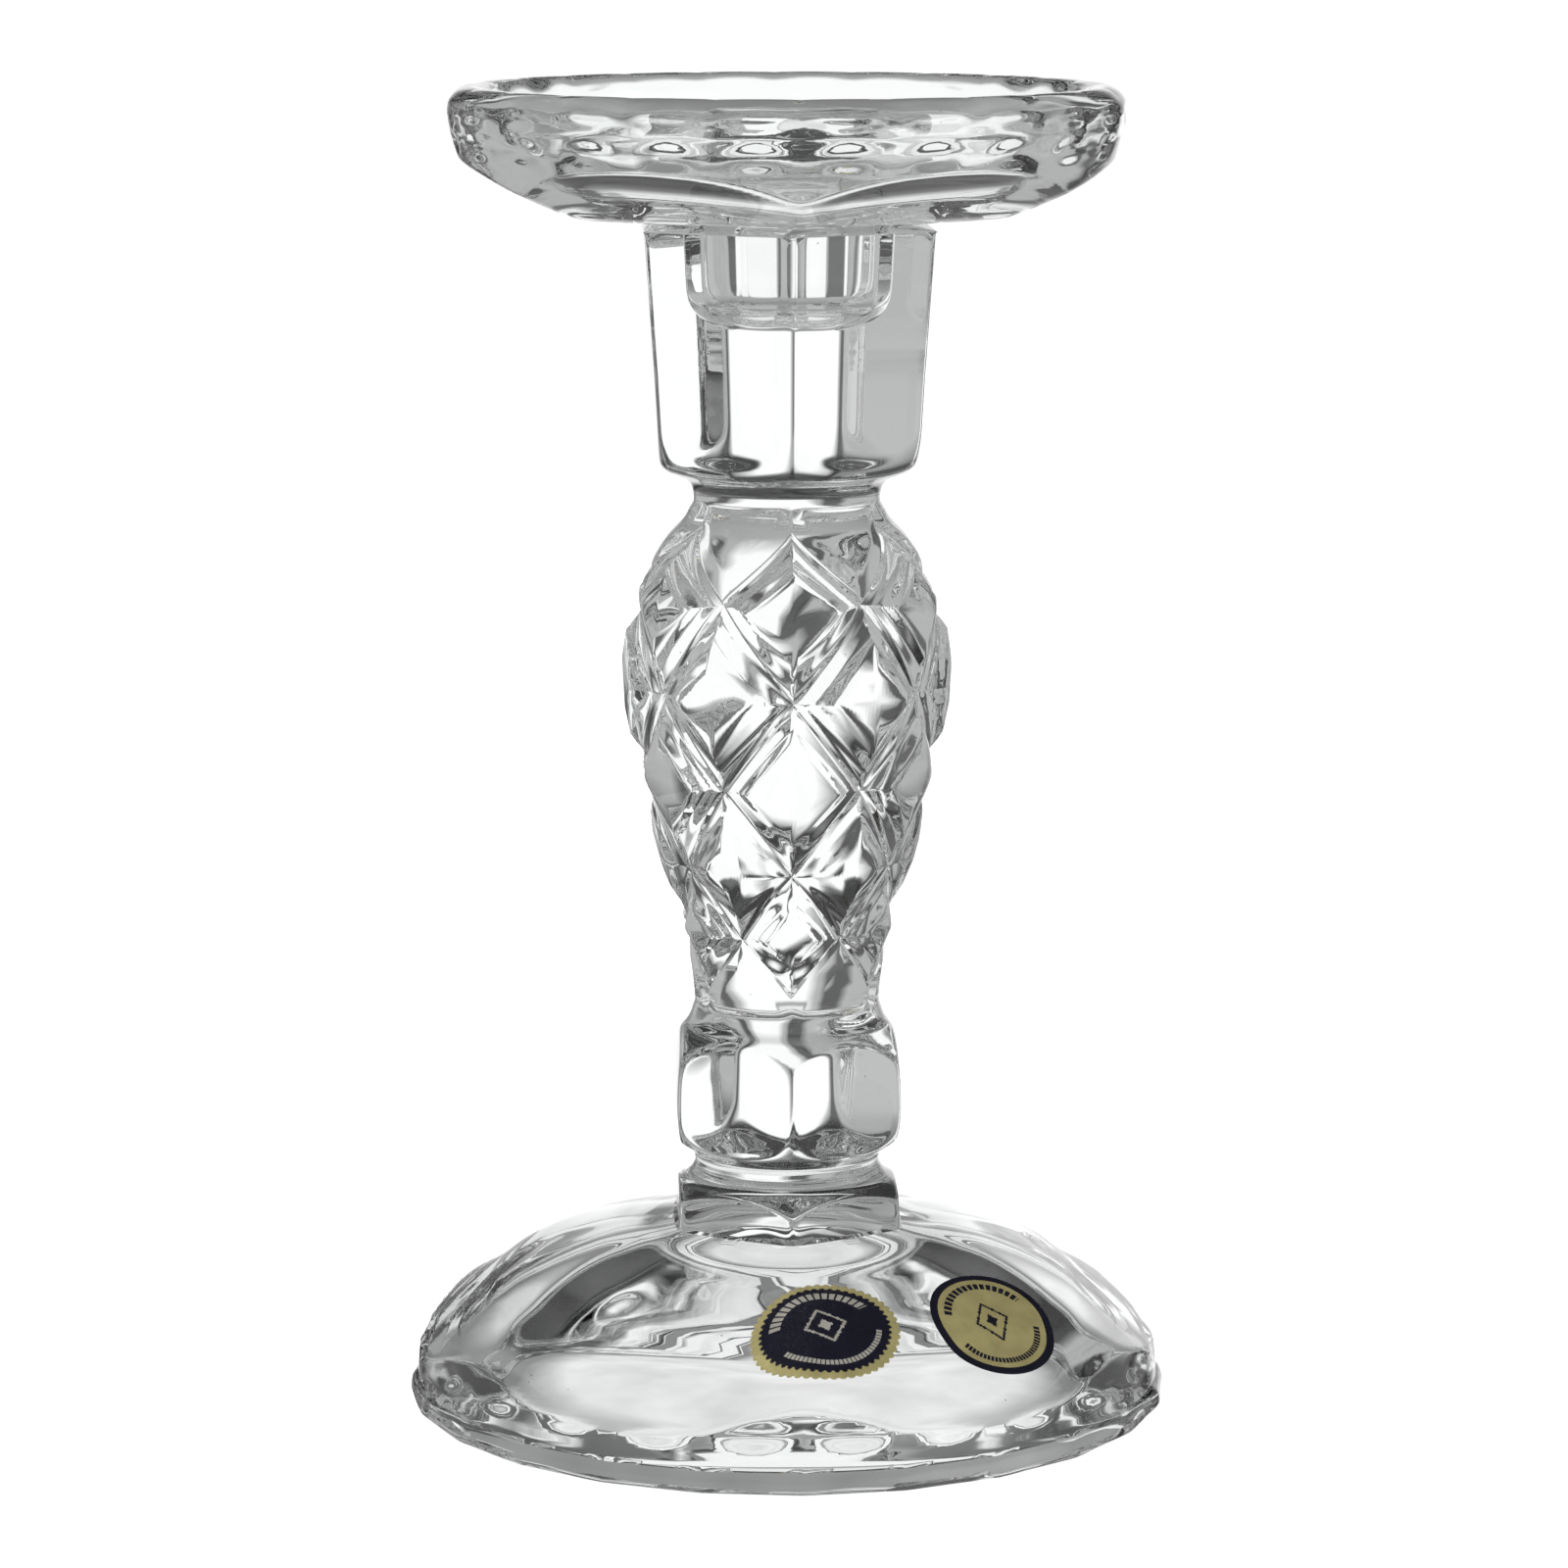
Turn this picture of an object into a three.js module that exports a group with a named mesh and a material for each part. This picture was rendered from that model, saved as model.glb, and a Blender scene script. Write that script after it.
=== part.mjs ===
// Pressed lead-crystal candlestick: a hexagonal candle cup under a wide drip dish, a diamond-patterned
// baluster stem, a small hexagonal knop and collar, and a hollow domed foot with two foil labels.
// Millimetres, +Z up. The origin is the centre of the resting ring under the foot, and one corner of
// every hexagonal section points along -Y.
import * as THREE from 'three';

// Driving dimensions.
const FOOT_RADIUS = 54.3;
const REST_RING_INNER_RADIUS = 50.0;
const HOLLOW_HEIGHT = 24.4;
const COLLAR_BASE_HEIGHT = 25.2;
const COLLAR_FLAT = 15.8; // from the axis to a flat of the hexagonal collar
const NECK_RADIUS = 13.1;
const NECK_HEIGHT = 129.0; // the narrowest place below the cup
const CUP_TOP_HEIGHT = 166.6;
const CUP_TOP_FLAT = 20.1;
const DISH_RADIUS = 47.0;
const DISH_FLOOR_HEIGHT = 172.4;
const SOCKET_RADIUS = 11.5; // to the corners of its twelve sides; takes a 22 mm taper candle
const SOCKET_FLOOR_HEIGHT = 153.0;
const TOTAL_HEIGHT = 186.0;

// How finely the surface is divided. Every corner of a hexagon, a rim or the socket lies on a step.
const ANGLE_STEPS = 48;
const HEX_SECTOR = Math.PI / 3;
const RIM_SIDES = 24;
const SOCKET_SIDES = 12;

// A flat this far out never reaches the round section that it would cut.
const NO_FLAT = 200;

// The ridges between the petals of the foot are rounded over this angle on each side.
const RIDGE_SOFTNESS = THREE.MathUtils.degToRad(6);

// Diamond lattice pressed into the baluster: the heights where its grooves cross, above the corners
// of the hexagon and above the middles of its flats.
const CORNER_CROSSINGS = [60.4, 77.4, 102.3, 124.6];
const FLAT_CROSSINGS = [67.8, 89.6, 115.6];
const GROOVE_DEPTH = 1.4;
const GROOVE_HALF_WIDTH = 2.6;
const BOSS_HEIGHT = 2.0; // the upper diamonds above the flats stand proud by this
const LOWER_BOSS_HEIGHT = 1.2; // and the lower ones by this
const BOSS_EDGE = [2.2, 4.2]; // their flank starts and ends this far from the groove
const NECK_TOP = 58.0; // the baluster runs from here
const SHOULDER_TOP = 127.0; // to here

// Foil labels on the dome of the foot.
const LABEL_GAP = 0.4;
const LABEL_THICKNESS = 0.2;

// Angle from the middle of the nearest flat of a regular polygon with one corner at angle 0. The corner
// is rounded over about the soft angle on each side.
function angleFromFlat(angle, sector, soft = 0) {
  const turn = ((angle % sector) + sector) % sector;
  const fromCorner = sector / 2 - Math.abs(turn - sector / 2);
  return sector / 2 - Math.hypot(fromCorner, soft);
}

// A stretch of the outline, drawn as one smooth curve through points of
// [height, radius of the round section, distance of the six flats].
function stretch(points, count, extra = {}) {
  const curve = new THREE.CatmullRomCurve3(
    points.map(([z, round, flat = NO_FLAT]) => new THREE.Vector3(round, z, flat)),
    false,
    'centripetal',
  );
  return curve.getPoints(count).map((p) => ({ z: p.y, round: p.x, flat: p.z, ...extra }));
}

// The hollow under the foot, from the middle of its ceiling down to the resting ring.
function footHollow() {
  return stretch([
    [HOLLOW_HEIGHT, 0],
    [HOLLOW_HEIGHT - 0.9, 6.5],
    [21.3, 14.0],
    [19.7, 19.5],
    [18.6, 25.0],
    [14.6, 36.5],
    [8.4, 44.8],
    [2.4, 49.0],
    [0, REST_RING_INNER_RADIUS],
  ], 8);
}

// The foot's upright rim, pressed into shallow thumb cuts.
function footRim() {
  return [
    { z: 0, round: FOOT_RADIUS - 0.5, flat: NO_FLAT, sides: RIM_SIDES },
    { z: 0.7, round: FOOT_RADIUS, flat: NO_FLAT, sides: RIM_SIDES },
    { z: 2.8, round: FOOT_RADIUS - 1.0, flat: NO_FLAT, sides: RIM_SIDES },
    { z: 5.2, round: FOOT_RADIUS - 1.8, flat: 54.5, sides: RIM_SIDES },
  ];
}

// The dome of the foot: six broad petals, cut from the rim up to the flats of the collar.
function footDome() {
  return stretch([
    [8.0, 51.7, 51.7],
    [11.0, 50.7, 47.4],
    [14.1, 48.6, 42.3],
    [17.0, 46.5, 38.8],
    [19.8, 43.0, 34.4],
    [22.3, 38.0, 29.2],
    [23.9, 31.0, 24.0],
    [COLLAR_BASE_HEIGHT, 24.0, COLLAR_FLAT + 0.4],
  ], 9, { soft: RIDGE_SOFTNESS });
}

// The hexagonal collar, with a round chamfer up to the lower neck.
function collar() {
  return [
    { z: COLLAR_BASE_HEIGHT + 0.3, round: 24, flat: COLLAR_FLAT },
    ...stretch([
      [28.6, 18.3, COLLAR_FLAT - 0.1],
      [29.6, 17.3, COLLAR_FLAT - 0.15],
      [30.6, 15.9, COLLAR_FLAT - 0.2],
      [31.4, 14.6, COLLAR_FLAT - 0.25],
      [32.4, 13.6, COLLAR_FLAT - 0.3],
      [33.6, NECK_RADIUS, COLLAR_FLAT - 0.35],
    ], 5),
  ];
}

// The knop: a round barrel with six flats.
function knop() {
  return stretch([
    [35.0, 13.3, 15.1],
    [36.0, 14.6, 15.2],
    [37.4, 16.5, 15.4],
    [39.5, 17.9, 15.7],
    [42.5, 18.6, 15.9],
    [46.5, 18.5, 15.8],
    [50.0, 17.4, 15.5],
    [52.4, 15.6, 15.3],
    [54.4, 14.0, 15.1],
    [NECK_TOP - 1.0, NECK_RADIUS, 15.0],
  ], 9);
}

// The zigzag grooves round the baluster, lowest first, as heights [above a corner, above a flat].
const ZIGZAGS = FLAT_CROSSINGS.flatMap((flatZ, i) => [
  [CORNER_CROSSINGS[i], flatZ],
  [CORNER_CROSSINGS[i + 1], flatZ],
]);

// Outline of the baluster before its grooves and bosses are pressed.
const BALUSTER_OUTLINE = stretch([
  [57.0, NECK_RADIUS],
  [60.4, 13.4],
  [66.0, 14.2],
  [72.0, 15.3],
  [78.0, 17.0],
  [84.0, 18.5],
  [90.0, 20.0],
  [98.0, 20.8],
  [106.0, 21.2],
  [113.0, 20.9],
  [119.0, 19.3],
  [123.0, 17.0],
  [126.2, 14.2],
  [NECK_HEIGHT, NECK_RADIUS],
], 52);

// The baluster's rings follow the zigzag grooves, so that every groove is an edge of the surface.
function baluster() {
  const ring = (low, high, share) => ({
    cornerZ: THREE.MathUtils.lerp(low[0], high[0], share),
    flatZ: THREE.MathUtils.lerp(low[1], high[1], share),
    lattice: true,
  });
  const rings = [ring([NECK_TOP, NECK_TOP], ZIGZAGS[0], 0.5)];
  for (let i = 0; i < ZIGZAGS.length - 1; i += 1) {
    [0, 0.22, 0.5, 0.78].forEach((share) => rings.push(ring(ZIGZAGS[i], ZIGZAGS[i + 1], share)));
  }
  const last = ZIGZAGS[ZIGZAGS.length - 1];
  [0, 0.4, 0.75, 1].forEach((share) => rings.push(ring(last, [SHOULDER_TOP, SHOULDER_TOP], share)));
  return rings;
}

// The hexagonal candle cup, from its rounded lower edge up to the groove below the dish.
function candleCup() {
  const lowerFlat = 18.0;
  return [
    { z: NECK_HEIGHT, round: NECK_RADIUS, flat: NO_FLAT },
    ...stretch([
      [130.4, 13.4, lowerFlat],
      [131.4, 14.4, lowerFlat],
      [132.2, 16.0, lowerFlat],
      [133.1, 18.2, lowerFlat],
      [134.3, 19.8, lowerFlat],
      [136.2, 20.9, lowerFlat + 0.15],
      [139.0, 21.6, lowerFlat + 0.3],
    ], 6),
    { z: CUP_TOP_HEIGHT - 0.4, round: 26, flat: CUP_TOP_FLAT },
    { z: CUP_TOP_HEIGHT, round: 26, flat: CUP_TOP_FLAT - 0.3 },
    { z: CUP_TOP_HEIGHT + 1.0, round: 18.3, flat: NO_FLAT },
  ];
}

// The underside of the dish: six petals that meet in points above the cup's corners.
function dishUnderside() {
  return stretch([
    [CUP_TOP_HEIGHT + 1.4, 26.0, 19.5],
    [168.4, 36.0, 28.8],
    [170.0, 40.4, 33.0],
    [172.0, 42.6, 37.2],
    [174.1, 44.3, 41.5],
    [175.7, 45.3, 45.0],
  ], 7, { sides: RIM_SIDES });
}

// The upright wall of the dish, with shallow thumb cuts, and its thick rounded lip.
function dishWall() {
  return stretch([
    [177.4, 45.9],
    [180.0, 46.6],
    [183.0, DISH_RADIUS],
    [184.8, 46.3],
    [185.7, 45.0],
    [TOTAL_HEIGHT, 43.6],
    [185.6, 41.8],
    [184.4, 40.6],
  ], 7, { sides: RIM_SIDES });
}

// The bowl of the dish, down to its flat floor.
function dishBowl() {
  return [
    ...stretch([
      [181.5, 39.6],
      [177.5, 37.6],
      [174.4, 34.0],
      [172.9, 29.5],
      [DISH_FLOOR_HEIGHT, 26.0],
    ], 6),
    { z: DISH_FLOOR_HEIGHT, round: SOCKET_RADIUS + 1.6, flat: NO_FLAT },
  ];
}

// The twelve-sided candle socket, down to the middle of its floor.
function socket() {
  return [
    { z: DISH_FLOOR_HEIGHT - 0.9, round: SOCKET_RADIUS + 0.4, flat: NO_FLAT, sides: SOCKET_SIDES },
    { z: SOCKET_FLOOR_HEIGHT + 3.0, round: SOCKET_RADIUS, flat: NO_FLAT, sides: SOCKET_SIDES },
    { z: SOCKET_FLOOR_HEIGHT + 0.8, round: SOCKET_RADIUS - 1.0, flat: NO_FLAT },
    { z: SOCKET_FLOOR_HEIGHT, round: SOCKET_RADIUS - 3.0, flat: NO_FLAT },
    { z: SOCKET_FLOOR_HEIGHT, round: 0, flat: NO_FLAT },
  ];
}

// How far the lattice moves the surface of the baluster in or out at one angle and height.
function latticeOffset(angle, z, radius) {
  const half = HEX_SECTOR / 2;
  const across = 1 - angleFromFlat(angle, HEX_SECTOR) / half;
  const columnGap = radius * half;
  const lines = ZIGZAGS.map(([cornerZ, flatZ]) => THREE.MathUtils.lerp(cornerZ, flatZ, across));
  const distances = lines.map((lineZ, i) => {
    const slope = (ZIGZAGS[i][1] - ZIGZAGS[i][0]) / columnGap;
    return Math.abs(z - lineZ) / Math.hypot(1, slope);
  });
  const nearest = Math.min(...distances);
  const insideBoss = (z > lines[1] && z < lines[2]) || (z > lines[3] && z < lines[4]);
  const shallow = THREE.MathUtils.mapLinear(z, 60, 110, 0.5, 1);
  const groove = -GROOVE_DEPTH * Math.min(shallow, 1) * Math.max(0, 1 - nearest / GROOVE_HALF_WIDTH);
  const proud = z > lines[3] ? BOSS_HEIGHT : LOWER_BOSS_HEIGHT;
  const boss = insideBoss ? proud * THREE.MathUtils.smoothstep(nearest, ...BOSS_EDGE) : 0;
  return groove + boss;
}

// Height of one ring of the outline at one angle.
function heightAt(ring, angle) {
  if (!ring.lattice) {
    return ring.z;
  }
  const across = 1 - angleFromFlat(angle, HEX_SECTOR) / (HEX_SECTOR / 2);
  return THREE.MathUtils.lerp(ring.cornerZ, ring.flatZ, across);
}

// Radius of the baluster's outline at a height.
function balusterRadius(z) {
  const above = Math.max(1, BALUSTER_OUTLINE.findIndex((point) => point.z >= z));
  const [low, high] = [BALUSTER_OUTLINE[above - 1], BALUSTER_OUTLINE[above]];
  return THREE.MathUtils.mapLinear(z, low.z, high.z, low.round, high.round);
}

// Radius of one ring of the outline at one angle.
function radiusAt(ring, angle) {
  if (ring.lattice) {
    const z = heightAt(ring, angle);
    const round = balusterRadius(z);
    return round + latticeOffset(angle, z, round);
  }
  const radius = Math.min(ring.round, ring.flat / Math.cos(angleFromFlat(angle, HEX_SECTOR, ring.soft)));
  if (!ring.sides || radius < ring.round) {
    return radius;
  }
  const sector = (2 * Math.PI) / ring.sides;
  return (radius * Math.cos(sector / 2)) / Math.cos(angleFromFlat(angle, sector));
}

// The whole pressed glass: one closed surface, turned as a lathe profile and then pressed ring by ring
// into its flats, petals, thumb cuts and diamonds.
function glassGeometry() {
  const rings = [
    ...footHollow(),
    ...footRim(),
    ...footDome(),
    ...collar(),
    ...knop(),
    ...baluster(),
    ...candleCup(),
    ...dishUnderside(),
    ...dishWall(),
    ...dishBowl(),
    ...socket(),
  ];
  const profile = rings.map((ring) => new THREE.Vector2(radiusAt(ring, 0), heightAt(ring, 0)));
  const geometry = new THREE.LatheGeometry(profile, ANGLE_STEPS);
  const position = geometry.attributes.position;
  for (let step = 0; step <= ANGLE_STEPS; step += 1) {
    const angle = ((step % ANGLE_STEPS) / ANGLE_STEPS) * 2 * Math.PI;
    rings.forEach((ring, i) => {
      const radius = radiusAt(ring, angle);
      const vertex = step * rings.length + i;
      position.setXYZ(vertex, radius * Math.sin(angle), heightAt(ring, angle), radius * Math.cos(angle));
    });
  }
  geometry.rotateX(Math.PI / 2);
  geometry.computeVertexNormals();
  return geometry;
}

// Height of the foot's petals above a point of the plan, from the outline of the dome.
function domeHeight(x, y) {
  const outline = footDome();
  const angle = Math.atan2(x, -y);
  const apothem = Math.hypot(x, y) * Math.cos(angleFromFlat(angle, HEX_SECTOR, RIDGE_SOFTNESS));
  const outer = outline.findIndex((ring) => ring.flat <= apothem);
  const above = outline[outer];
  const below = outline[outer - 1];
  return THREE.MathUtils.mapLinear(apothem, below.flat, above.flat, below.z, above.z);
}

// A thin foil label laid on the dome: an ellipse about a plan point, turned by tilt.
function labelGeometry({ centre, halfWidth, halfLength, tilt }) {
  const rings = 3;
  const spokes = 32;
  const outward = Math.atan2(centre[0], -centre[1]);
  const points = [];
  const layer = (lift) => {
    points.push(centre[0], centre[1], domeHeight(centre[0], centre[1]) + lift);
    for (let ring = 1; ring <= rings; ring += 1) {
      for (let spoke = 0; spoke < spokes; spoke += 1) {
        const turn = (spoke / spokes) * 2 * Math.PI;
        const u = (halfWidth * ring * Math.cos(turn)) / rings;
        const v = (halfLength * ring * Math.sin(turn)) / rings;
        const along = u * Math.cos(tilt) - v * Math.sin(tilt);
        const upslope = u * Math.sin(tilt) + v * Math.cos(tilt);
        const x = centre[0] + along * Math.cos(outward) - upslope * Math.sin(outward);
        const y = centre[1] + along * Math.sin(outward) + upslope * Math.cos(outward);
        points.push(x, y, domeHeight(x, y) + lift);
      }
    }
  };
  layer(LABEL_GAP);
  layer(LABEL_GAP + LABEL_THICKNESS);
  const perLayer = 1 + rings * spokes;
  const at = (top, ring, spoke) => (top ? perLayer : 0) + 1 + (ring - 1) * spokes + (spoke % spokes);
  const faces = [];
  for (let spoke = 0; spoke < spokes; spoke += 1) {
    faces.push(perLayer, at(true, 1, spoke), at(true, 1, spoke + 1));
    faces.push(0, at(false, 1, spoke + 1), at(false, 1, spoke));
    for (let ring = 1; ring < rings; ring += 1) {
      faces.push(at(true, ring, spoke), at(true, ring + 1, spoke), at(true, ring + 1, spoke + 1));
      faces.push(at(true, ring, spoke), at(true, ring + 1, spoke + 1), at(true, ring, spoke + 1));
      faces.push(at(false, ring, spoke), at(false, ring + 1, spoke + 1), at(false, ring + 1, spoke));
      faces.push(at(false, ring, spoke), at(false, ring, spoke + 1), at(false, ring + 1, spoke + 1));
    }
    faces.push(at(false, rings, spoke), at(false, rings, spoke + 1), at(true, rings, spoke + 1));
    faces.push(at(false, rings, spoke), at(true, rings, spoke + 1), at(true, rings, spoke));
  }
  const geometry = new THREE.BufferGeometry();
  geometry.setAttribute('position', new THREE.Float32BufferAttribute(points, 3));
  geometry.setIndex(faces);
  geometry.computeVertexNormals();
  return geometry;
}

function glassBody() {
  const material = new THREE.MeshStandardMaterial({ color: 0xe4ebeb, roughness: 0.04, metalness: 0 });
  const mesh = new THREE.Mesh(glassGeometry(), material);
  mesh.name = 'glass_body';
  return mesh;
}

function ovalLabel() {
  const shape = { centre: [3.6, -38.1], halfWidth: 11.0, halfLength: 7.7, tilt: 0.36 };
  const material = new THREE.MeshStandardMaterial({ color: 0x16161f, roughness: 0.35, metalness: 0.4 });
  const mesh = new THREE.Mesh(labelGeometry(shape), material);
  mesh.name = 'oval_label';
  return mesh;
}

function roundLabel() {
  const shape = { centre: [27.2, -28.9], halfWidth: 9.1, halfLength: 7.8, tilt: -0.17 };
  const material = new THREE.MeshStandardMaterial({ color: 0xa59b5f, roughness: 0.3, metalness: 0.8 });
  const mesh = new THREE.Mesh(labelGeometry(shape), material);
  mesh.name = 'round_label';
  return mesh;
}

const candlestick = new THREE.Group();
candlestick.add(glassBody(), ovalLabel(), roundLabel());

export default candlestick;
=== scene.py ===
import math

import bmesh
import bpy
import numpy as np
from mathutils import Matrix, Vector


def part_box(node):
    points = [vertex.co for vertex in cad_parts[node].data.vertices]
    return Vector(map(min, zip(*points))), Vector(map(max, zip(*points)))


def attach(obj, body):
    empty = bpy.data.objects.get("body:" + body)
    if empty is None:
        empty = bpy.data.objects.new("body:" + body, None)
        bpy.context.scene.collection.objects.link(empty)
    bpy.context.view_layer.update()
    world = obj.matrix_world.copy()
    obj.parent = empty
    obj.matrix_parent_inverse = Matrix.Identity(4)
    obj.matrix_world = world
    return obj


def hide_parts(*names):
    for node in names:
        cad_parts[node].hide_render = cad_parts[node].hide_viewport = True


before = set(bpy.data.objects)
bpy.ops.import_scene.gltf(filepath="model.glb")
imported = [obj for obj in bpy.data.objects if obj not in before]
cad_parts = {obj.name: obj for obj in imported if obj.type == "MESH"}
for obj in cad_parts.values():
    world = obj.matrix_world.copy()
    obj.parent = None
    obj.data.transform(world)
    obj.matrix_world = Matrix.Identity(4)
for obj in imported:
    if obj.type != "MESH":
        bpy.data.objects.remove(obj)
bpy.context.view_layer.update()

# A pressed crystal candlestick: one glass body, built ring by ring from the middle of the foot's
# hollow, round the outside, to the middle of the socket's floor, and two foil labels on its foot.
# Lengths are millimetres until the meshes are made.
MM = 0.001
HEX = math.pi / 3  # sector of a hexagonal section, which has a corner at the front
RIM = math.pi / 12  # sector of the 24-sided edge of the foot and the dish
STEPS = 240  # round the axis; every hexagon corner and rim notch lies on a step
ANGLES = np.arange(STEPS) * (2 * math.pi / STEPS)  # 0 at the front, towards -Y

_, glass_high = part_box("glass_body")
TOTAL_HEIGHT = glass_high.z / MM
FOOT_RADIUS = glass_high.x / MM
HOLLOW_HEIGHT = 24.4
COLLAR_BASE = 25.2
COLLAR_FLAT = 15.8  # from the axis to a flat
NECK_RADIUS = 13.1
LOWER_NECK = 57.0
LATTICE_BASE = 58.0
LATTICE_TOP = 127.0
UPPER_NECK = 129.0
CUP_WALL_BASE = 146.0
CUP_WALL_FLAT = 18.7
CUP_TOP = 166.6
CUP_TOP_FLAT = 20.1
DISH_FLOOR = 172.4
SOCKET_RADIUS = 11.5
SOCKET_FLOOR = 153.0

# Rows of 24 thumb cuts: height of their middle, half height, half width, radius there, depth.
FOOT_CUTS = (7.9, 2.1, 4.6, 52.0, 0.4)
DISH_CUTS = (178.4, 1.9, 3.9, 46.0, 0.45)
LIP_CUTS = (182.8, 1.15, 5.4, 47.0, 0.3)


# ---- outline helpers --------------------------------------------------------------------------

def from_flat(angle, sector, softness=0.0):
    """Angle from the middle of a polygon's nearest flat. Corners are rounded over softness."""
    turn = np.mod(angle, sector)
    corner = sector / 2 - np.abs(turn - sector / 2)
    return sector / 2 - np.hypot(corner, softness)


def hexagon(flat, softness, angles=ANGLES):
    """Radius of a hexagon with its flats at a distance flat and corners softened, in degrees."""
    return flat / np.cos(from_flat(angles, HEX, math.radians(softness)))


def facets(sector, softness):
    """Radius factor of a polygon whose corners lie on the round outline. softness is in degrees."""
    return math.cos(sector / 2) / np.cos(from_flat(ANGLES, sector, math.radians(softness)))


def soft_min(a, b, width):
    """The smaller of a and b, with the crease between them rounded over width."""
    h = np.clip(1 - np.abs(a - b) / width, 0, 1)
    return np.minimum(a, b) - h * h * width / 4


def smooth_step(x, low, high):
    t = np.clip((x - low) / (high - low), 0, 1)
    return t * t * (3 - 2 * t)


def curve(points, counts):
    """Centripetal Catmull-Rom curve through rows of numbers, with counts steps between rows."""
    p = np.array(points, float)
    p = np.concatenate([[2 * p[0] - p[1]], p, [2 * p[-1] - p[-2]]])
    rows = []
    for i, count in enumerate(counts):
        a, b, c, d = p[i : i + 4]
        t0, t1, t2 = (
            max(np.linalg.norm((end - start)[:2]) ** 0.5, 1e-4)
            for start, end in ((a, b), (b, c), (c, d))
        )
        m1 = ((b - a) / t0 - (c - a) / (t0 + t1) + (c - b) / t1) * t1
        m2 = ((c - b) / t1 - (d - b) / (t1 + t2) + (d - c) / t2) * t1
        is_last = i == len(counts) - 1
        for t in np.linspace(0, 1, count + 1)[: count + 1 if is_last else count]:
            rows.append(
                (2 * t**3 - 3 * t**2 + 1) * b
                + (t**3 - 2 * t**2 + t) * m1
                + (3 * t**2 - 2 * t**3) * c
                + (t**3 - t**2) * m2
            )
    return rows


def thumb_cuts(z, cuts):
    """Depth of a row of thumb cuts at height z. Each is an oval dent with a softened edge."""
    centre, half_height, half_width, radius, depth = cuts
    across = from_flat(ANGLES, RIM) * radius / half_width
    up = (z - centre) / half_height
    inside = np.clip(1 - across**2 - up**2, 0, 1)
    edge = 0.06
    return depth * (np.sqrt(inside**2 + edge**2) - edge)


rings = []


def ring(radius, height):
    """One ring of the glass, from its radius and height, the same all round or one per step."""
    rings.append((np.broadcast_to(radius, STEPS).copy(), np.broadcast_to(height, STEPS).copy()))


# ---- the glass, one function for each section -------------------------------------------------

def foot_hollow():
    """The inside of the foot, from the middle of its ceiling down to the resting ring."""
    height_radius = [
        (HOLLOW_HEIGHT, 0),
        (23.5, 6.5),
        (21.3, 14.0),
        (19.7, 19.5),
        (18.6, 25.0),
        (14.6, 36.5),
        (8.4, 44.8),
        (2.4, 49.0),
        (0.0, 50.0),
    ]
    for z, r in curve(height_radius, [3, 4, 3, 3, 4, 4, 4, 4])[1:]:
        ring(r, z)


def foot_rim():
    """The resting ring and the 24-sided edge above it, which is slightly uneven and steps in."""
    outline = FOOT_RADIUS * facets(RIM, softness=0.5)
    unevenness = 0.09
    ring(FOOT_RADIUS - 2.0, 0)
    ring(outline - 0.7, 0)
    for z, inset in [
        (0.12, 0.3),
        (0.4, 0.1),
        (0.8, 0.0),
        (1.6, 0.15),
        (2.3, 0.4),
        (2.7, 0.75),
        (2.9, 1.1),
    ]:
        waves = np.sin(9 * ANGLES + 4 * z) * np.sin(14 * ANGLES - 3 * z + 1) + 1
        ring(outline - inset - unevenness * waves, z)


# The outside of the foot: height, radius of its wall, distance of its six petals from the axis.
DOME = np.array(
    curve(
        [
            (3.2, 53.0, 60.0),
            (5.2, 52.9, 56.0),
            (8.0, 52.5, 51.4),
            (11.0, 51.6, 47.2),
            (14.1, 49.0, 42.3),
            (17.0, 45.0, 38.8),
            (19.8, 43.0, 34.4),
            (22.3, 38.0, 29.2),
            (23.9, 31.0, 24.0),
            (COLLAR_BASE, 24.0, COLLAR_FLAT + 0.4),
        ],
        [5, 6, 6, 5, 4, 4, 4, 4, 4],
    )
)


def dome_radius(angles, wall, flat):
    return soft_min(wall, hexagon(flat, softness=5, angles=angles), width=0.2)


def foot_dome():
    for z, wall, flat in DOME:
        ring(dome_radius(ANGLES, wall - thumb_cuts(z, FOOT_CUTS), flat), z)


def collar():
    """A hexagonal block whose top is cut round, so each flat ends in a low arch."""
    height_radius = [
        (25.6, 24.0),
        (28.6, 18.3),
        (29.6, 17.3),
        (30.6, 15.9),
        (31.4, 14.6),
        (32.4, 13.6),
        (33.6, NECK_RADIUS),
    ]
    taper = 0.05
    for z, r in curve(height_radius, [5, 5, 5, 3, 3, 2]):
        flat = COLLAR_FLAT - taper * (z - COLLAR_BASE)
        ring(soft_min(r, hexagon(flat, softness=1.6), width=0.45), z)


def knop():
    """A round bulge with six flats."""
    height_radius_flat = [
        (35.0, 13.3, 15.1),
        (36.0, 14.6, 15.2),
        (37.4, 16.5, 15.4),
        (39.5, 17.9, 15.7),
        (42.5, 18.6, 15.9),
        (46.5, 18.5, 15.8),
        (50.0, 17.4, 15.5),
        (52.4, 15.6, 15.3),
        (54.4, 14.0, 15.1),
        (LOWER_NECK, NECK_RADIUS, 15.0),
    ]
    for z, r, flat in curve(height_radius_flat, [3, 4, 5, 5, 5, 5, 4, 4, 3]):
        ring(soft_min(r, hexagon(flat, softness=1.8), width=0.5), z)


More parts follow.
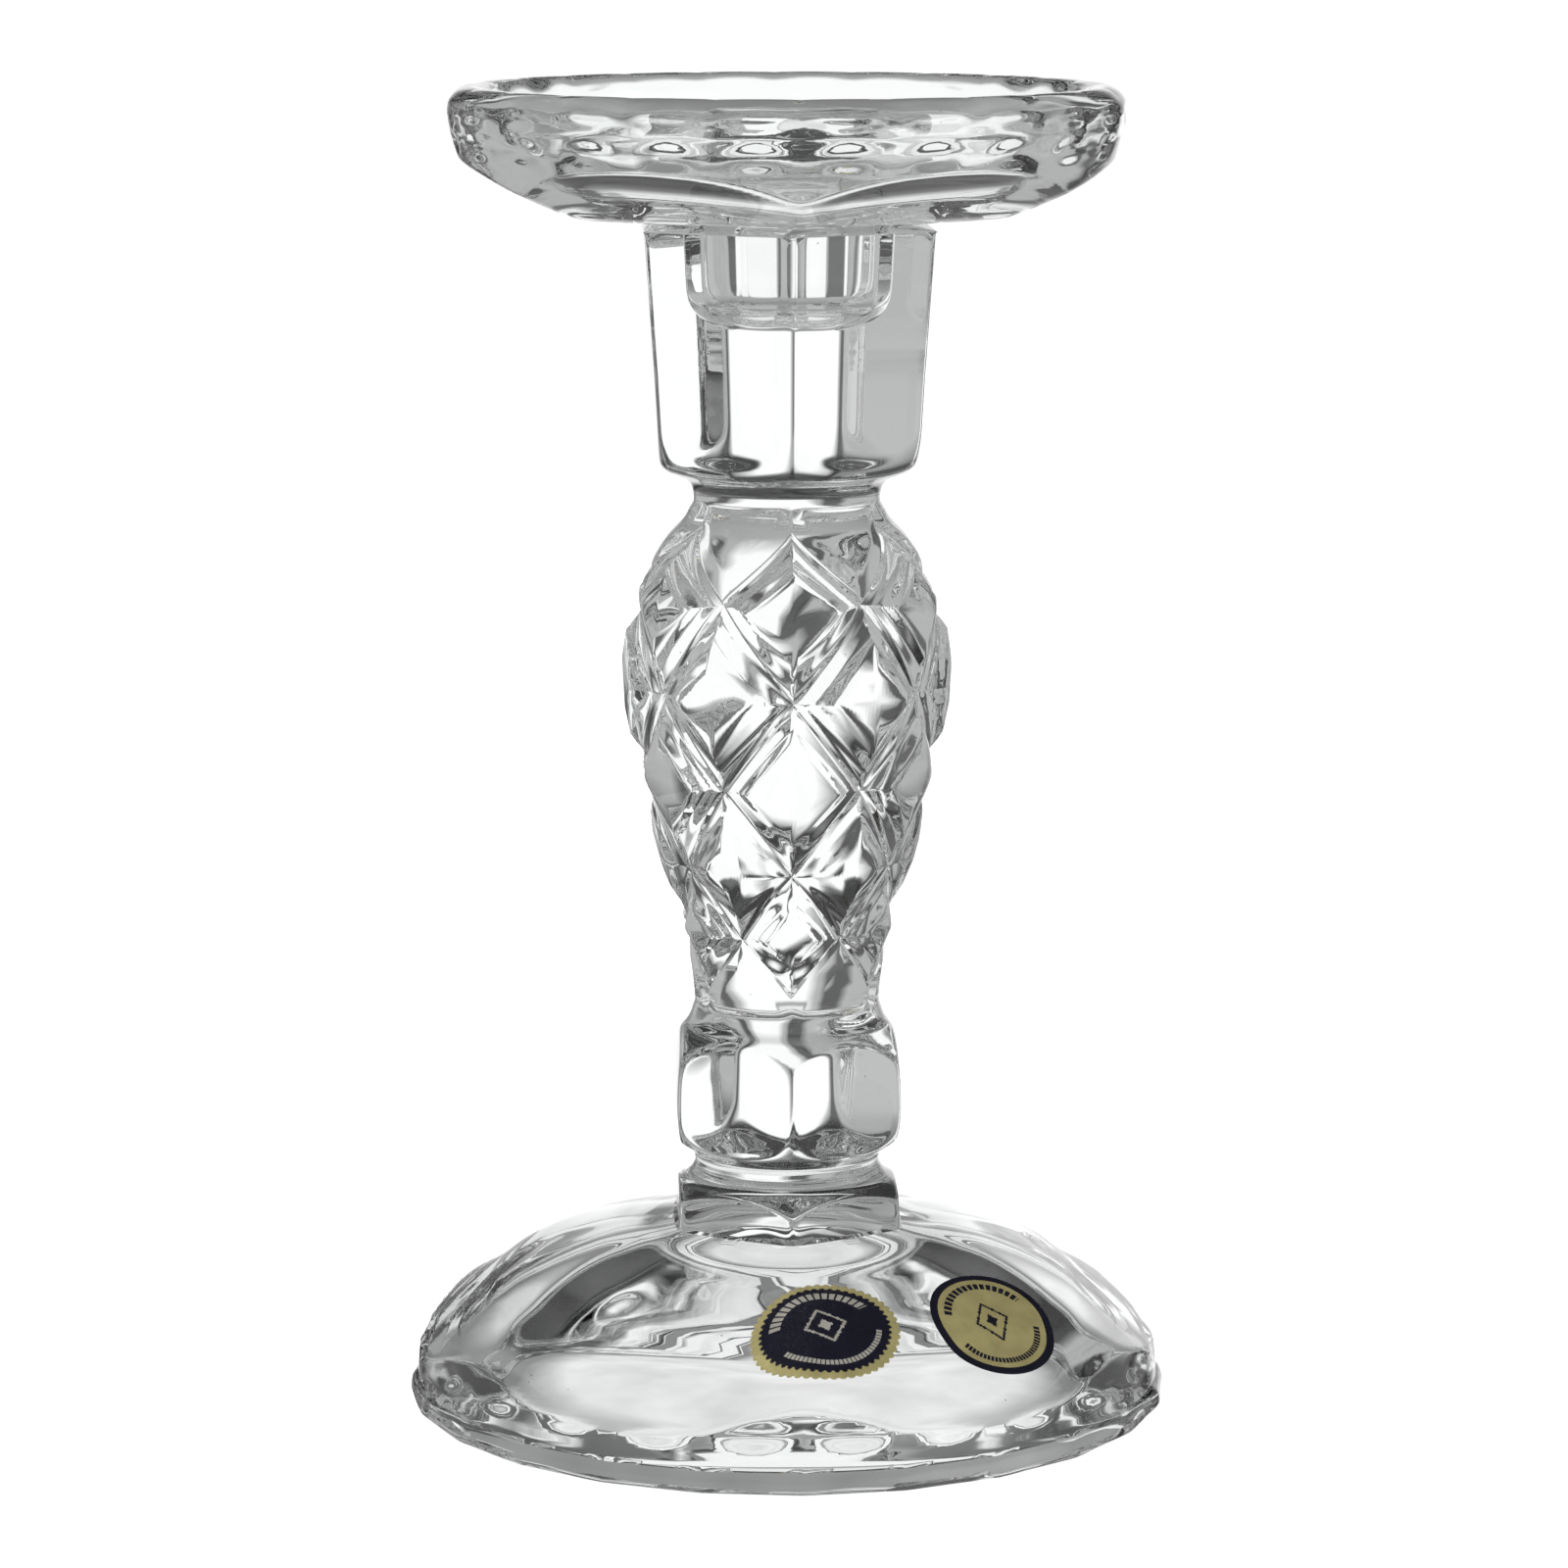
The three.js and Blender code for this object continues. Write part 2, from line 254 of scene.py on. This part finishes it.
# The baluster's six grooves zigzag round it. They meet at these heights over the hexagon's
# corners and over its flats, and leave diamonds and triangles between them.
CORNER_CROSSINGS = [60.4, 77.4, 102.3, 124.6]
FLAT_CROSSINGS = [67.8, 89.6, 115.6]
ZIGZAGS = [
    (CORNER_CROSSINGS[i + side], flat) for i, flat in enumerate(FLAT_CROSSINGS) for side in (0, 1)
]
ACROSS = 1 - from_flat(ANGLES, HEX) / (HEX / 2)  # 0 over a corner of the hexagon, 1 over a flat
GROOVES = [corner + (flat - corner) * ACROSS for corner, flat in ZIGZAGS]
GROOVE_WIDTH, GROOVE_DEPTH = 0.55, 0.45
BEVEL_WIDTH, BEVEL_DEPTH = 2.9, 1.15

# How far the field of a band stands proud, and where it starts and ends rising from a groove.
PLAIN_FIELD = (0.8, 1.8, 3.4)
FIELDS = {1: PLAIN_FIELD, 2: (1.2, 1.6, 4.6), 3: PLAIN_FIELD, 4: (2.0, 1.6, 4.6), 5: PLAIN_FIELD}

# Rings beside a groove lie this far from it, but at most this share of the band.
BESIDE_GROOVE = [
    (0.35, 0.03),
    (0.8, 0.07),
    (1.5, 0.12),
    (2.4, 0.18),
    (3.4, 0.25),
    (4.4, 0.32),
    (5.6, 0.4),
]
OUTLINE = np.array(
    curve(
        [
            (LOWER_NECK, NECK_RADIUS),
            (60.4, 13.4),
            (66.0, 14.2),
            (72.0, 15.3),
            (78.0, 17.0),
            (84.0, 18.5),
            (90.0, 20.0),
            (98.0, 20.8),
            (106.0, 21.2),
            (113.0, 20.9),
            (119.0, 19.3),
            (123.0, 17.0),
            (126.2, 14.2),
            (UPPER_NECK, NECK_RADIUS),
        ],
        [8] * 13,
    )
)


def lattice_radius(z, band):
    """Radius of the baluster at heights z, one for each step, in a band between two grooves."""
    base = np.interp(z, OUTLINE[:, 0], OUTLINE[:, 1])
    half_sector = base * HEX / 2
    near = np.min(
        [
            np.abs(z - groove) / np.hypot(1, (flat - corner) / half_sector)
            for groove, (corner, flat) in zip(GROOVES, ZIGZAGS)
        ],
        axis=0,
    )
    strength = np.clip(0.5 + (z - 60) / 100, 0.4, 1)  # the cutting fades towards the foot
    groove = GROOVE_DEPTH * np.clip(1 - near / GROOVE_WIDTH, 0, 1)
    bevel = BEVEL_DEPTH * np.clip(1 - near / BEVEL_WIDTH, 0, 1)
    radius = base - strength * (groove + bevel)
    if band in FIELDS:
        proud, start, end = FIELDS[band]
        radius += proud * smooth_step(near, start, end)
    return radius


def baluster():
    lowest, highest = np.full(STEPS, LATTICE_BASE), np.full(STEPS, LATTICE_TOP)
    edges = [lowest, *GROOVES, highest]
    for band, (low, high) in enumerate(zip(edges[:-1], edges[1:])):
        margins = [np.minimum(gap, share * (high - low)) for gap, share in BESIDE_GROOVE]
        inner_low, inner_high = low + margins[-1], high - margins[-1]
        heights = [low] + [low + margin for margin in margins]
        heights += [inner_low + (inner_high - inner_low) * t for t in (0.25, 0.5, 0.75)]
        heights += [high - margin for margin in margins[::-1]]
        for z in heights:
            ring(lattice_radius(z, band), z)
    ring(lattice_radius(highest, len(ZIGZAGS)), LATTICE_TOP)


def candle_cup():
    """A hexagonal cup with a rounded bottom, a hair seam, and mould fins at its top corners."""
    softness = 1.3
    height_radius_flat = [
        (UPPER_NECK, NECK_RADIUS, 18.0),
        (130.4, 13.4, 18.0),
        (131.4, 14.4, 18.0),
        (132.2, 16.2, 18.0),
        (133.1, 18.4, 18.0),
        (134.3, 20.0, 18.05),
        (136.2, 20.9, 18.15),
        (139.0, 21.6, 18.3),
        (CUP_WALL_BASE, 24.0, CUP_WALL_FLAT),
    ]
    ring(NECK_RADIUS, UPPER_NECK - 0.8)
    for z, r, flat in curve(height_radius_flat, [2, 3, 3, 4, 4, 4, 4, 4]):
        crease = 2.6 - 2.1 * smooth_step(z, 132, 141)
        ring(soft_min(r, hexagon(flat, softness), crease), z)
    seam_height, seam = 149.3, 0.012
    for z in (149.0, seam_height, 149.6, 154.0, 160.0, 165.0, 166.1):
        flat = np.interp(z, [CUP_WALL_BASE, CUP_TOP], [CUP_WALL_FLAT, CUP_TOP_FLAT])
        ring(hexagon(flat, softness) + (seam if z == seam_height else 0), z)
    fin_depth, fin_half_angle = 0.35, 0.06
    from_corner = HEX / 2 - np.abs(from_flat(ANGLES, HEX))
    fin = fin_depth * np.clip(1 - from_corner / fin_half_angle, 0, 1)
    ring(hexagon(CUP_TOP_FLAT, softness) + fin, CUP_TOP - 0.2)
    ring(hexagon(CUP_TOP_FLAT - 0.2, softness) + fin * 0.4, CUP_TOP)
    shoulder = hexagon(CUP_TOP_FLAT - 1.0, softness)
    ring(soft_min(19.6, shoulder, width=0.5), CUP_TOP + 0.5)
    ring(18.6, CUP_TOP + 0.9)
    ring(18.3, CUP_TOP + 1.1)


def dish_underside():
    """Six petals below a round wall with thumb cuts."""
    height_wall_flat = [
        (CUP_TOP + 1.4, 26.0, 19.3),
        (168.4, 36.0, 28.8),
        (170.0, 40.4, 33.0),
        (172.0, 42.6, 37.2),
        (174.1, 44.3, 41.5),
        (175.7, 45.3, 45.0),
        (177.4, 45.9, 50.0),
        (179.4, 46.5, 56.0),
        (181.2, 46.9, 64.0),
    ]
    for z, wall, flat in curve(height_wall_flat, [5, 5, 5, 5, 4, 4, 4, 4]):
        petals = hexagon(flat, softness=1.6)
        ring(soft_min(wall - thumb_cuts(z, DISH_CUTS), petals, width=0.5), z)


def dish_lip():
    """The rounded lip, with 24 small notches. The last column is the notches' share of depth."""
    notch = 1 - np.sqrt(np.abs(np.sin(12 * ANGLES)))
    height_radius_share = [
        (181.7, 46.9, 0.0),
        (182.1, 46.98, 0.1),
        (183.0, 47.0, 0.2),
        (184.2, 46.7, 0.5),
        (185.2, 45.9, 0.8),
        (185.85, 44.8, 1.0),
        (TOTAL_HEIGHT, 43.6, 1.0),
        (185.6, 41.9, 0.8),
        (184.4, 40.7, 0.4),
        (183.0, 40.1, 0.1),
    ]
    for z, r, share in curve(height_radius_share, [1, 3, 3, 3, 3, 2, 3, 3, 2]):
        inward, downward = 0.08 * share * notch, 0.1 * share * notch
        ring(r - thumb_cuts(z, LIP_CUTS) - inward, min(z, TOTAL_HEIGHT) - downward)


def dish_bowl():
    height_radius = [
        (181.5, 39.6),
        (177.5, 37.6),
        (174.4, 34.0),
        (172.9, 29.5),
        (DISH_FLOOR, 26.0),
    ]
    for z, r in curve(height_radius, [4, 4, 4, 3]):
        ring(r, z)
    ring(20.0, DISH_FLOOR)
    ring(SOCKET_RADIUS + 2.2, DISH_FLOOR)
    ring(SOCKET_RADIUS + 1.4, DISH_FLOOR - 0.15)


def socket():
    """The twelve-sided candle socket. The last column is how far its flats are developed."""
    twelve_sides = facets(HEX / 2, softness=1.0) - 1
    for z, r, share in [
        (DISH_FLOOR - 0.5, 12.2, 0.3),
        (DISH_FLOOR - 1.2, 11.9, 0.8),
        (169.0, 11.8, 1.0),
        (164.0, 11.6, 1.0),
        (160.0, 11.45, 1.0),
        (158.4, 11.35, 1.0),
        (157.0, 11.1, 0.9),
        (155.8, 10.5, 0.75),
        (154.9, 9.6, 0.55),
        (154.1, 8.4, 0.35),
        (153.5, 7.0, 0.2),
        (153.15, 5.6, 0.1),
        (SOCKET_FLOOR, 4.2, 0.0),
        (SOCKET_FLOOR, 2.4, 0.0),
    ]:
        ring(r * (1 + share * twelve_sides), z)


def glass_mesh():
    """One closed surface through all the rings, with a fan at each end."""
    for section in (
        foot_hollow,
        foot_rim,
        foot_dome,
        collar,
        knop,
        baluster,
        candle_cup,
        dish_underside,
        dish_lip,
        dish_bowl,
        socket,
    ):
        section()
    radius = np.array([r for r, _ in rings])
    height = np.array([z for _, z in rings])
    around = np.stack([radius * np.sin(ANGLES), -radius * np.cos(ANGLES), height], axis=-1)
    ends = [[0, 0, HOLLOW_HEIGHT], [0, 0, SOCKET_FLOOR]]
    points = np.concatenate([around.reshape(-1, 3), ends]) * MM
    count = len(rings)
    i, j = np.meshgrid(np.arange(count - 1), np.arange(STEPS), indexing="ij")
    k = (j + 1) % STEPS
    low, high = i * STEPS, (i + 1) * STEPS
    quads = np.stack([low + j, low + k, high + k, high + j], axis=-1)
    faces = quads.reshape(-1, 4).tolist()
    first_end, last_end, last_ring = count * STEPS, count * STEPS + 1, (count - 1) * STEPS
    for a in range(STEPS):
        b = (a + 1) % STEPS
        faces.append((first_end, b, a))
        faces.append((last_ring + a, last_ring + b, last_end))
    mesh = bpy.data.meshes.new("crystal_body")
    mesh.from_pydata(points.tolist(), [], faces)
    return mesh


def weld(mesh):
    """Merges points that coincide where grooves cross."""
    work = bmesh.new()
    work.from_mesh(mesh)
    bmesh.ops.remove_doubles(work, verts=work.verts, dist=2e-6)
    bmesh.ops.dissolve_degenerate(work, dist=1e-7, edges=work.edges)
    work.to_mesh(mesh)
    work.free()


def shade(mesh, sharp_angle):
    """Smooth shading, apart from creases sharper than an angle in degrees."""
    mesh.shade_smooth()
    mesh.set_sharp_from_angle(angle=math.radians(sharp_angle))
    mesh.update()


# ---- materials --------------------------------------------------------------------------------

class Graph:
    """Adds linked nodes to a material's or the world's node tree."""

    def __init__(self, tree):
        self.nodes = tree.nodes
        self.links = tree.links

    def feed(self, target, value):
        """Sets an input to a constant, or links another node's output to it."""
        if isinstance(value, bpy.types.NodeSocket):
            self.links.new(value, target)
        else:
            target.default_value = value

    def coordinates(self, kind):
        return self.nodes.new("ShaderNodeTexCoord").outputs[kind]

    def math(self, operation, a, b):
        node = self.nodes.new("ShaderNodeMath")
        node.operation = operation
        self.feed(node.inputs[0], a)
        self.feed(node.inputs[1], b)
        return node.outputs[0]

    def remap(self, source, low, high, to_low, to_high):
        """Maps source from the range low to high, and clamps it to to_low to to_high."""
        node = self.nodes.new("ShaderNodeMapRange")
        self.feed(node.inputs["Value"], source)
        self.feed(node.inputs["From Min"], low)
        self.feed(node.inputs["From Max"], high)
        self.feed(node.inputs["To Min"], to_low)
        self.feed(node.inputs["To Max"], to_high)
        return node.outputs["Result"]

    def noise(self, scale, detail):
        """Noise with scale cells per metre."""
        node = self.nodes.new("ShaderNodeTexNoise")
        node.inputs["Scale"].default_value = scale
        node.inputs["Detail"].default_value = detail
        self.feed(node.inputs["Vector"], self.coordinates("Object"))
        return node.outputs["Fac"]

    def bump(self, height, strength, distance):
        node = self.nodes.new("ShaderNodeBump")
        node.inputs["Strength"].default_value = strength
        node.inputs["Distance"].default_value = distance
        self.feed(node.inputs["Height"], height)
        return node.outputs["Normal"]

    def mix(self, factor, a, b):
        node = self.nodes.new("ShaderNodeMix")
        node.data_type = "RGBA"
        self.feed(node.inputs["Factor"], factor)
        node.inputs["A"].default_value = (*a, 1)
        node.inputs["B"].default_value = (*b, 1)
        return node.outputs["Result"]


def new_material(name):
    material = bpy.data.materials.new(name)
    material.use_nodes = True
    return material, Graph(material.node_tree), material.node_tree.nodes["Principled BSDF"].inputs


def crystal_material():
    """Clear lead crystal with fine dark specks, a faint ripple and a few smears."""
    material, graph, shader = new_material("clear_crystal")
    specks = graph.nodes.new("ShaderNodeTexVoronoi")
    specks.inputs["Scale"].default_value = 170
    graph.feed(specks.inputs["Vector"], graph.coordinates("Object"))
    speck_core, speck_edge = 0.022, 0.034  # as shares of the specks' spacing
    clear = graph.remap(specks.outputs["Distance"], speck_core, speck_edge, 0.0, 1.0)
    speck_colour, glass_colour = (0.3, 0.3, 0.3), (0.973, 0.985, 0.983)
    graph.feed(shader["Base Color"], graph.mix(clear, speck_colour, glass_colour))
    smears = graph.remap(graph.noise(60, 4), 0.55, 0.8, 0.0, 0.015)
    graph.feed(shader["Roughness"], smears)
    graph.feed(shader["Normal"], graph.bump(graph.noise(90, 2), 0.02, 0.0002))
    shader["Transmission Weight"].default_value = 1.0
    shader["IOR"].default_value = 1.545
    return material


def foil_material(name, colour, metallic, roughness, grain):
    """Printed foil paper, slightly blotchy in colour and gloss, with a fine grain."""
    material, graph, shader = new_material(name)
    darker = [c * 0.86 for c in colour]
    lighter = [min(c * 1.1, 1.0) for c in colour]
    patchiness = graph.remap(graph.noise(350, 3), 0.3, 0.7, 0.0, 1.0)
    gloss = graph.remap(graph.noise(900, 3), 0.3, 0.7, roughness - 0.06, roughness + 0.08)
    graph.feed(shader["Base Color"], graph.mix(patchiness, darker, lighter))
    graph.feed(shader["Roughness"], gloss)
    graph.feed(shader["Normal"], graph.bump(graph.noise(2600, 2), grain, 0.00003))
    shader["Metallic"].default_value = metallic
    return material


# ---- pieces -----------------------------------------------------------------------------------

def add_object(name, data):
    new = bpy.data.objects.new(name, data)
    bpy.context.scene.collection.objects.link(new)
    return new


def add_piece(name, mesh, node, slot, *materials):
    piece = add_object(name, mesh)
    for material in materials:
        mesh.materials.append(material)
    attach(piece, "root")
    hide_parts(node)


glass = glass_mesh()
weld(glass)
shade(glass, 35)
add_piece("crystal_body", glass, "glass_body", "clear_crystal", crystal_material())


# ---- foil labels ------------------------------------------------------------------------------

LABEL_SPOKES = 300
LABEL_RINGS = 40
LABEL_GAP = 0.06  # from the glass to the foil
LABEL_THICKNESS = 0.12
SCALLOPS = 50
BORDER_INK = 1

# Centre in plan, half width, half length, tilt, depth of the scallops as a share, their relief.
OVAL = ((3.6, -38.1), 11.0, 7.7, 0.36, 0.04, 0.06)
ROUND = ((27.2, -28.9), 9.1, 7.8, -0.17, 0.0, 0.0)


def lobe(turn):
    """0 between two scallops and 1 in the middle of one."""
    return np.abs(np.sin(turn * SCALLOPS / 2))


def dome_height(x, y):
    """Height of the foot's outer surface above points of the plan."""
    angles = np.arctan2(x, -y)
    reach = np.hypot(x, y)
    radius = dome_radius(angles[:, None], DOME[None, :, 1], DOME[None, :, 2])
    return np.array([np.interp(-r, -row, DOME[:, 0]) for r, row in zip(reach, radius)])


def label_points(label, share, turn, lift):
    """Points of one ring of a label, at a share of its half-axes and lifted off the glass."""
    centre, half_width, half_length, tilt, scallop_depth, relief = label
    outward = math.atan2(centre[0], -centre[1])
    edge = 1 - scallop_depth * (1 - lobe(turn)) * smooth_step(share, 0.8, 1.0)
    u = half_width * share * edge * np.cos(turn)
    v = half_length * share * edge * np.sin(turn)
    along = u * math.cos(tilt) - v * math.sin(tilt)
    upslope = u * math.sin(tilt) + v * math.cos(tilt)
    x = centre[0] + along * math.cos(outward) - upslope * math.sin(outward)
    y = centre[1] + along * math.sin(outward) + upslope * math.cos(outward)
    raised = relief * lobe(turn) * smooth_step(share, 0.88, 0.93) if lift else 0
    z = dome_height(x, y) + LABEL_GAP + lift * LABEL_THICKNESS + raised
    return np.stack([x, y, z], axis=-1)


def label_mesh(name, label, ink_at):
    """A closed foil patch on the dome. ink_at(share, turn) picks the material of each face."""
    turns = np.arange(LABEL_SPOKES) * (2 * math.pi / LABEL_SPOKES)
    upper = np.linspace(0, 1, LABEL_RINGS + 1)[1:]
    back = upper[::-4]  # every fourth ring, from the edge inwards
    shares = np.concatenate([upper, back])
    lifts = np.concatenate([np.ones(LABEL_RINGS), np.zeros(len(back))])
    lifts[LABEL_RINGS - 1] = 0.6  # the edge is pressed down
    points = [label_points(label, share, turns, lift) for share, lift in zip(shares, lifts)]
    points += [label_points(label, 0.0, np.zeros(1), lift) for lift in (1.0, 0.0)]
    rows = len(shares)
    upper_middle, back_middle = rows * LABEL_SPOKES, rows * LABEL_SPOKES + 1
    last_row = (rows - 1) * LABEL_SPOKES
    faces, inks = [], []
    for k in range(LABEL_SPOKES):
        n = (k + 1) % LABEL_SPOKES
        turn = turns[k] + math.pi / LABEL_SPOKES
        faces.append((upper_middle, k, n))
        inks.append(ink_at(0.0, turn))
        faces.append((back_middle, last_row + n, last_row + k))
        inks.append(0)
        for i in range(rows - 1):
            a, b = i * LABEL_SPOKES, (i + 1) * LABEL_SPOKES
            faces.append((a + k, b + k, b + n, a + n))
            middle = (shares[i] + shares[i + 1]) / 2
            inks.append(ink_at(middle, turn) if i < LABEL_RINGS - 1 else BORDER_INK)
    mesh = bpy.data.meshes.new(name)
    mesh.from_pydata((np.concatenate(points) * MM).tolist(), [], faces)
    mesh.polygons.foreach_set("material_index", inks)
    shade(mesh, 50)
    return mesh


def dashes(turn, first, last, spokes, inked):
    """True in the inked spokes of each dash, on an arc from first to last, in degrees."""
    degrees = math.degrees(turn)
    spoke = int(degrees / (360 / LABEL_SPOKES))
    return first < degrees < last and spoke % spokes < inked


def ornament(share, turn, upper_band, lower_band):
    """True in two arcs of plain dashes and a lozenge, which stand for the print."""
    if upper_band[0] < share < upper_band[1] and dashes(turn, 22, 158, 7, 5):
        return True
    if lower_band[0] < share < lower_band[1] and dashes(turn, 200, 340, 4, 3):
        return True
    lozenge = abs(share * math.cos(turn)) * 0.95 + abs(share * math.sin(turn)) * 0.8
    return 0.24 < lozenge < 0.29 or lozenge < 0.1


def oval_ink(share, turn):
    """0 is the dark field, 1 the scalloped gold border and 2 the pale print."""
    border = 0.91 - 0.055 * lobe(turn)
    if share > border:
        return BORDER_INK
    return 2 if ornament(share, turn, (0.6, 0.76), (0.68, 0.76)) else 0


def round_ink(share, turn):
    """0 is the gold field, 1 the dark border and print."""
    border = 0.87
    return int(share > border or ornament(share, turn, (0.66, 0.78), (0.68, 0.78)))


gold = foil_material("gold_foil", (0.5, 0.44, 0.2), 0.3, 0.38, 0.3)
dark = foil_material("dark_foil", (0.012, 0.012, 0.022), 0.1, 0.28, 0.25)
pale = foil_material("pale_print", (0.5, 0.48, 0.42), 0.3, 0.35, 0.2)
oval_mesh = label_mesh("oval_foil_label", OVAL, oval_ink)
add_piece("oval_foil_label", oval_mesh, "oval_label", "dark_foil", dark, gold, pale)
round_mesh = label_mesh("round_foil_label", ROUND, round_ink)
add_piece("round_foil_label", round_mesh, "round_label", "gold_foil", gold, dark)


# ---- stage, in metres -------------------------------------------------------------------------

FLOOR_HALF_WIDTH = 9.0
FLOOR_DROP = 0.0002  # keeps the floor clear of the resting ring
TABLE_RADIUS = 0.0497  # just inside the resting ring
TABLE_DROP = 0.0001
LAMP_PLACE = Vector((-0.5, -0.2, 1.3))
LAMP_TARGET = Vector((0, 0, 0.1))
CAMERA_DISTANCE = 0.754
CAMERA_HEIGHT = 0.219
CAMERA_TURN = 2.5  # degrees to the left of the front
CAMERA_PITCH = 9.87  # degrees down


def glowing_paper(name):
    material, graph, shader = new_material(name)
    shader["Specular IOR Level"].default_value = 0.0
    shader["Emission Color"].default_value = (1, 1, 1, 1)
    return material, graph, shader


def stage_floor():
    """A plain white floor, hidden from the glass, which sees the studio's walls below it."""
    s = FLOOR_HALF_WIDTH
    mesh = bpy.data.meshes.new("floor")
    mesh.from_pydata([(-s, -s, 0), (s, -s, 0), (s, s, 0), (-s, s, 0)], [], [(0, 1, 2, 3)])
    material, _, shader = glowing_paper("floor_paper")
    shader["Base Color"].default_value = (0.8, 0.8, 0.8, 1)
    shader["Roughness"].default_value = 0.9
    shader["Emission Strength"].default_value = 0.95
    mesh.materials.append(material)
    floor = add_object("floor", mesh)
    floor.location.z = -FLOOR_DROP
    floor.visible_transmission = False
    floor.visible_glossy = False


def shaded_table():
    """The table inside the foot, seen only through the glass: a glowing disc of painted light,
    bright, with painted shade near the ring and painted caustic streaks.
    """
    sides = 96
    turns = [2 * math.pi * k / sides for k in range(sides)]
    points = [(TABLE_RADIUS * math.cos(t), TABLE_RADIUS * math.sin(t), 0) for t in turns]
    mesh = bpy.data.meshes.new("shaded_table")
    mesh.from_pydata(points, [], [tuple(range(sides))])
    material, graph, shader = glowing_paper("shaded_paper")
    length = graph.nodes.new("ShaderNodeVectorMath")
    length.operation = "LENGTH"
    graph.feed(length.inputs[0], graph.coordinates("Object"))
    # painted shade: the table's glow falls from bright to dim towards the resting ring
    bright_within, shaded_beyond = 0.036, 0.046
    glow = graph.remap(length.outputs["Value"], bright_within, shaded_beyond, 0.95, 0.32)
    # painted caustic streaks: noise varies the painted glow across the table
    patchiness = graph.remap(graph.noise(70, 3), 0.3, 0.7, 0.8, 1.05)
    graph.feed(shader["Emission Strength"], graph.math("MULTIPLY", glow, patchiness))
    shader["Base Color"].default_value = (0, 0, 0, 1)
    mesh.materials.append(material)
    table = add_object("shaded_table", mesh)
    table.location.z = -TABLE_DROP
    table.visible_camera = False
    table.visible_diffuse = False
    table.visible_shadow = False


def studio_world():
    """A grey tent with white panels and dark flags, seen only by the glass. The camera sees white.

    Places on the walls are given by azimuth in radians, 0 behind the object and positive to the
    right, and by the height of a unit direction.
    """
    world = bpy.data.worlds.new("studio")
    bpy.context.scene.world = world
    world.use_nodes = True
    graph = Graph(world.node_tree)
    parts = graph.nodes.new("ShaderNodeSeparateXYZ")
    graph.feed(parts.inputs[0], graph.coordinates("Generated"))
    x, y, z = parts.outputs
    azimuth = graph.math("ARCTAN2", x, y)

    def between(source, edges):
        """1 between the inner two edges, fading to 0 at the outer two."""
        rise = graph.remap(source, edges[0], edges[1], 0.0, 1.0)
        fall = graph.remap(source, edges[2], edges[3], 1.0, 0.0)
        return graph.math("MULTIPLY", rise, fall)

    def panel(azimuths, heights, strength):
        mask = graph.math("MULTIPLY", between(azimuth, azimuths), between(z, heights))
        return graph.math("MULTIPLY", mask, strength)

    low_walls = graph.remap(z, -0.85, -0.45, 0.27, 0.5)
    high_walls = graph.remap(z, 0.1, 0.36, 0.47, 0.04)
    walls = graph.math("MINIMUM", low_walls, high_walls)

    flag_heights, darkness = (-0.6, -0.5, 0.5, 0.6), 0.8
    left_flag = panel((-0.5, -0.4, -0.26, -0.2), flag_heights, darkness)
    right_flag = panel((0.5, 0.56, 0.66, 0.76), flag_heights, darkness)
    open_share = graph.math("SUBTRACT", 1.0, graph.math("ADD", left_flag, right_flag))
    walls = graph.math("MULTIPLY", walls, open_share)

    back_panel = panel((-0.25, -0.09, 0.37, 0.55), (-0.64, -0.47, 0.16, 0.30), 1.08)
    side_panel = panel((1.5, 1.8, 2.6, 2.9), (-0.4, -0.2, 0.4, 0.65), 1.1)
    studio = graph.math("MAXIMUM", walls, graph.math("MAXIMUM", back_panel, side_panel))
    camera_ray = graph.nodes.new("ShaderNodeLightPath").outputs["Is Camera Ray"]
    background = graph.nodes["Background"].inputs
    graph.feed(background["Strength"], graph.math("MAXIMUM", studio, camera_ray))
    background["Color"].default_value = (1, 1, 1, 1)


def top_light():
    """A soft box for the labels and the floor. The glass doesn't show it."""
    light = bpy.data.lights.new("top_light", "AREA")
    light.size = 0.9
    light.energy = 18
    lamp = add_object("top_light", light)
    lamp.visible_glossy = False
    lamp.visible_transmission = False
    lamp.location = LAMP_PLACE
    lamp.rotation_euler = (LAMP_TARGET - LAMP_PLACE).to_track_quat("-Z", "Y").to_euler()


def camera():
    data = bpy.data.cameras.new("camera")
    data.sensor_width = 36.0
    data.lens = 124.3
    data.shift_x = -0.001875
    data.clip_start = 0.01
    view = add_object("camera", data)
    turn = math.radians(CAMERA_TURN)
    across, back = CAMERA_DISTANCE * math.sin(turn), CAMERA_DISTANCE * math.cos(turn)
    view.location = (-across, -back, CAMERA_HEIGHT)
    view.rotation_euler = (math.radians(90 - CAMERA_PITCH), 0, -turn)
    bpy.context.scene.camera = view


stage_floor()
shaded_table()
studio_world()
top_light()
camera()

scene = bpy.context.scene
scene.view_settings.view_transform = "Standard"
scene.cycles.max_bounces = 24
scene.cycles.transmission_bounces = 24
scene.cycles.glossy_bounces = 12
